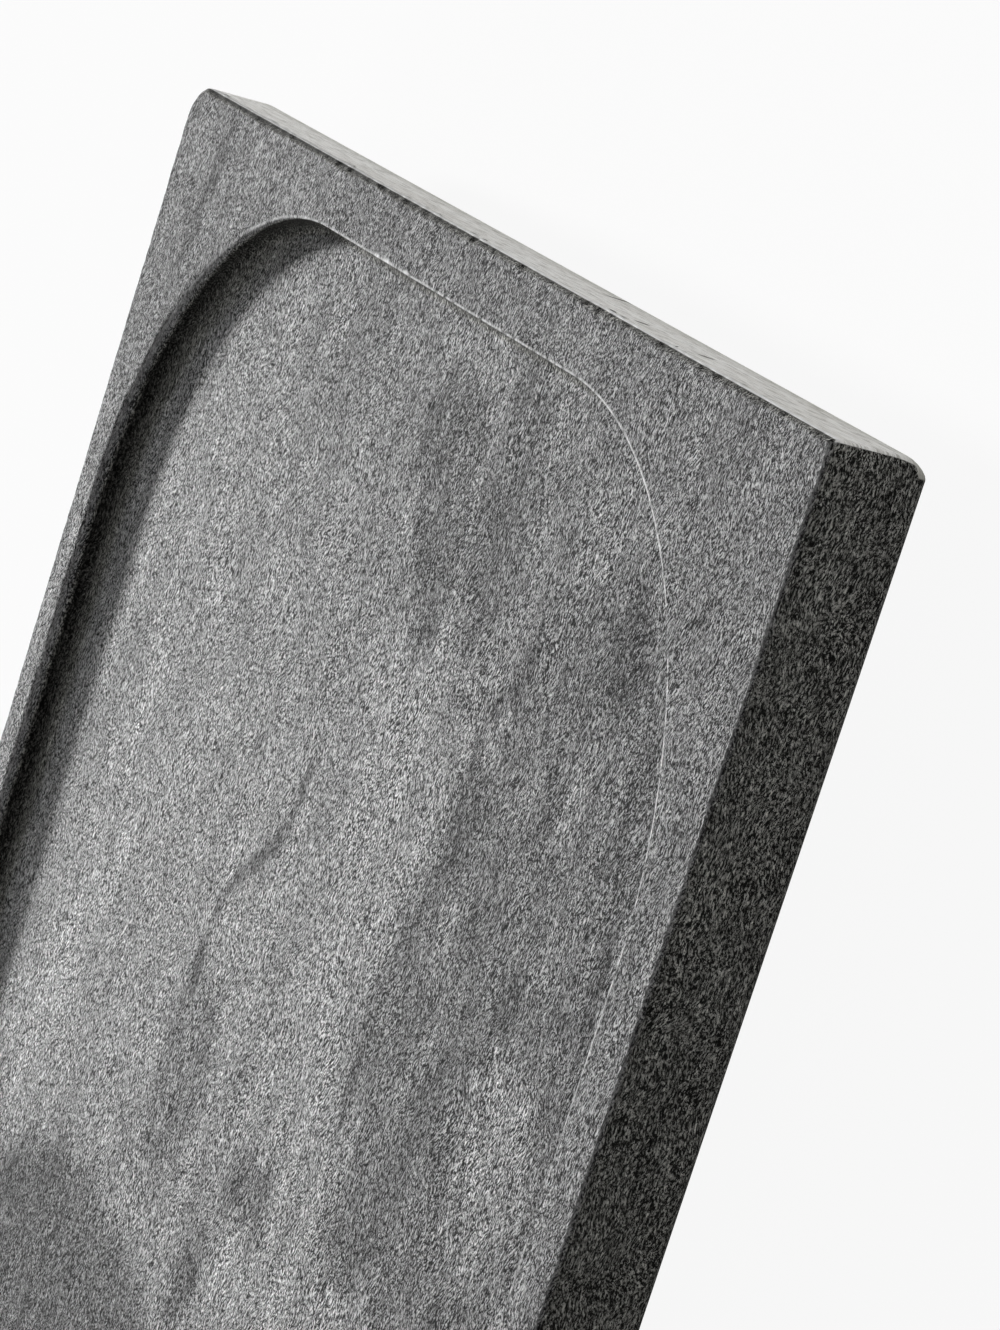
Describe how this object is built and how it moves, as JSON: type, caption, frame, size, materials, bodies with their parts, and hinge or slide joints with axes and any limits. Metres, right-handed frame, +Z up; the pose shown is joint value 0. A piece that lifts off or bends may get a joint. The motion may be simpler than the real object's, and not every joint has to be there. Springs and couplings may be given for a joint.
{
  "type": "gongfu tea tray",
  "caption": "Carved stone tea tray: a thick rectangular slab with a shallow round-cornered basin, a lift-out drain strainer, a hose outlet below, and rubber feet.",
  "frame": {"origin": "on the table under the middle of the slab, in the plane that the feet stand on", "axes": "+Z up; +X along the slab towards the plain end that the picture shows, -X towards the drain; -Y the front long side"},
  "size_m": [0.7, 0.4, 0.038],
  "materials": {
    "dark_stone": "honed, fine-grained dark grey stone with soft veins along its length",
    "brushed_steel": "turned and brushed stainless steel",
    "polished_steel": "polished stainless steel",
    "black_rubber": "matt moulded rubber",
    "silicone": "soft translucent-white silicone",
    "foam": "white closed-cell adhesive foam"
  },
  "bodies": {
    "tray": {"stone_slab": "dark_stone", "drain_body": "brushed_steel", "flange_seal": "silicone", "backing_washer": "black_rubber", "lock_nut": "brushed_steel", "hose_elbow": "brushed_steel", "elbow_seal": "black_rubber", "foot_front_left": "black_rubber", "foot_front_middle": "black_rubber", "foot_front_right": "black_rubber", "foot_back_left": "black_rubber", "foot_back_middle": "black_rubber", "foot_back_right": "black_rubber", "foot_adhesive_discs": "foam"},
    "strainer": {"drain_strainer": "brushed_steel", "strainer_knob": "polished_steel"}
  },
  "joints": [
    {"name": "strainer_lift", "type": "slide", "parent": "tray", "child": "strainer", "axis": [0, 0, 1], "range_m": [0, 0.05]}
  ]
}
